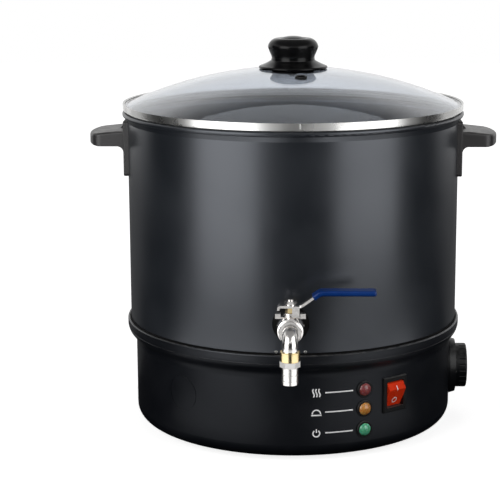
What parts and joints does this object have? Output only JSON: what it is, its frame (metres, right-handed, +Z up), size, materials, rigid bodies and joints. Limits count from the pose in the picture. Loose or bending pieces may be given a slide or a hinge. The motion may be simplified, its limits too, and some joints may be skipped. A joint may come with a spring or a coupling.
{
  "type": "candle wax melter",
  "caption": "Round electric wax melting pot: steel tank with side handles, domed glass lid with knob, heated base with dial, rocker switch and signal lamps, ball-valve spout at the front.",
  "frame": {"origin": "on the table under the centre of the tank, in the plane of the foot ring's underside", "axes": "+Z up, -Y towards the user (the valve side), +X towards the dial"},
  "size_m": [0.4308, 0.4139, 0.4122],
  "materials": {
    "tank_paint": "satin black paint",
    "base_plastic": "matt black moulding",
    "collar_plastic": "satin black moulding",
    "plated_steel": "bright plated",
    "cover_steel": "black coated sheet",
    "foot_rubber": "matt",
    "cast_aluminium": "satin",
    "element_sheath": "dull oxidised",
    "ceramic_fibre": "soft fibre board",
    "copper_tube": "drawn copper",
    "dark_moulding": "satin",
    "contact_brass": "satin",
    "red_lens": "translucent dark red",
    "amber_lens": "translucent amber",
    "green_lens": "translucent green",
    "white_moulding": "ceramic white",
    "wire_sleeve": "glass-braid sleeving",
    "handle_plastic": "satin phenolic",
    "black_rubber": "matt silicone",
    "polished_steel": "polished stainless",
    "seat_polymer": "white fluoropolymer",
    "yellow_brass": "turned",
    "blue_vinyl": "dipped vinyl",
    "dial_plastic": "satin",
    "red_rocker": "gloss",
    "clear_glass": "clear tempered",
    "band_steel": "polished",
    "knob_plastic": "gloss phenolic"
  },
  "bodies": {
    "melter": {"tank": "tank_paint", "base_shell": "base_plastic", "collar_ring": "collar_plastic", "collar_screws": "plated_steel", "mounting_ring": "plated_steel", "mounting_screws": "plated_steel", "bottom_cover": "cover_steel", "cover_screws": "plated_steel", "foot_ring": "foot_rubber", "heating_plate": "cast_aluminium", "heating_element": "element_sheath", "insulation_pad": "ceramic_fibre", "heat_shield": "cast_aluminium", "thermal_cutout": "element_sheath", "sensing_bulb": "copper_tube", "capillary_tube": "copper_tube", "thermostat_body": "dark_moulding", "thermostat_screws": "plated_steel", "dial_bezel": "dial_plastic", "switch_housing": "dark_moulding", "switch_terminals": "contact_brass", "lamp_lens_red": "red_lens", "lamp_lens_amber": "amber_lens", "lamp_lens_green": "green_lens", "lamp_holders": "dark_moulding", "lamp_nuts": "dark_moulding", "mains_inlet": "dark_moulding", "inlet_pins": "contact_brass", "inlet_screws": "plated_steel", "terminal_block": "white_moulding", "wiring": "wire_sleeve", "handle_left": "handle_plastic", "handle_right": "handle_plastic", "handle_screws": "plated_steel", "valve_gasket": "black_rubber", "inner_washer": "black_rubber", "nipple_locknut": "polished_steel", "inlet_nipple": "polished_steel", "valve_body": "polished_steel", "valve_end_cap": "polished_steel", "ball_seats": "seat_polymer", "gland_nut": "yellow_brass", "spout_pipe": "polished_steel", "brass_coupler": "yellow_brass", "hose_tail": "polished_steel"},
    "valve_lever": {"tap_lever": "polished_steel", "lever_sleeve": "blue_vinyl", "stem_nut": "polished_steel", "valve_stem": "polished_steel", "valve_ball": "polished_steel"},
    "dial": {"thermostat_knob": "dial_plastic", "thermostat_shaft": "plated_steel"},
    "rocker": {"switch_rocker": "red_rocker"},
    "lid": {"lid_glass": "clear_glass", "lid_band": "band_steel", "lid_knob": "knob_plastic", "knob_skirt": "knob_plastic", "knob_screw": "plated_steel", "knob_washer": "black_rubber", "vent_grommet": "black_rubber"}
  },
  "joints": [
    {"name": "lid_lift", "type": "slide", "parent": "melter", "child": "lid", "axis": [0, 0, 1], "range_m": [0, 0.3]},
    {"name": "valve_turn", "type": "hinge", "parent": "melter", "child": "valve_lever", "pos_m": [0, -0.195, 0.146], "axis": [0, 0, -1], "range_deg": [0, 90]},
    {"name": "dial_turn", "type": "hinge", "parent": "melter", "child": "dial", "pos_m": [0.176, 0, 0.0546], "axis": [-1, 0, 0], "range_deg": [0, 270]},
    {"name": "rocker_tilt", "type": "hinge", "parent": "melter", "child": "rocker", "pos_m": [0.10137, -0.13045, 0.0626], "axis": [-0.7896, -0.6136, 0], "range_deg": [0, 18]}
  ]
}
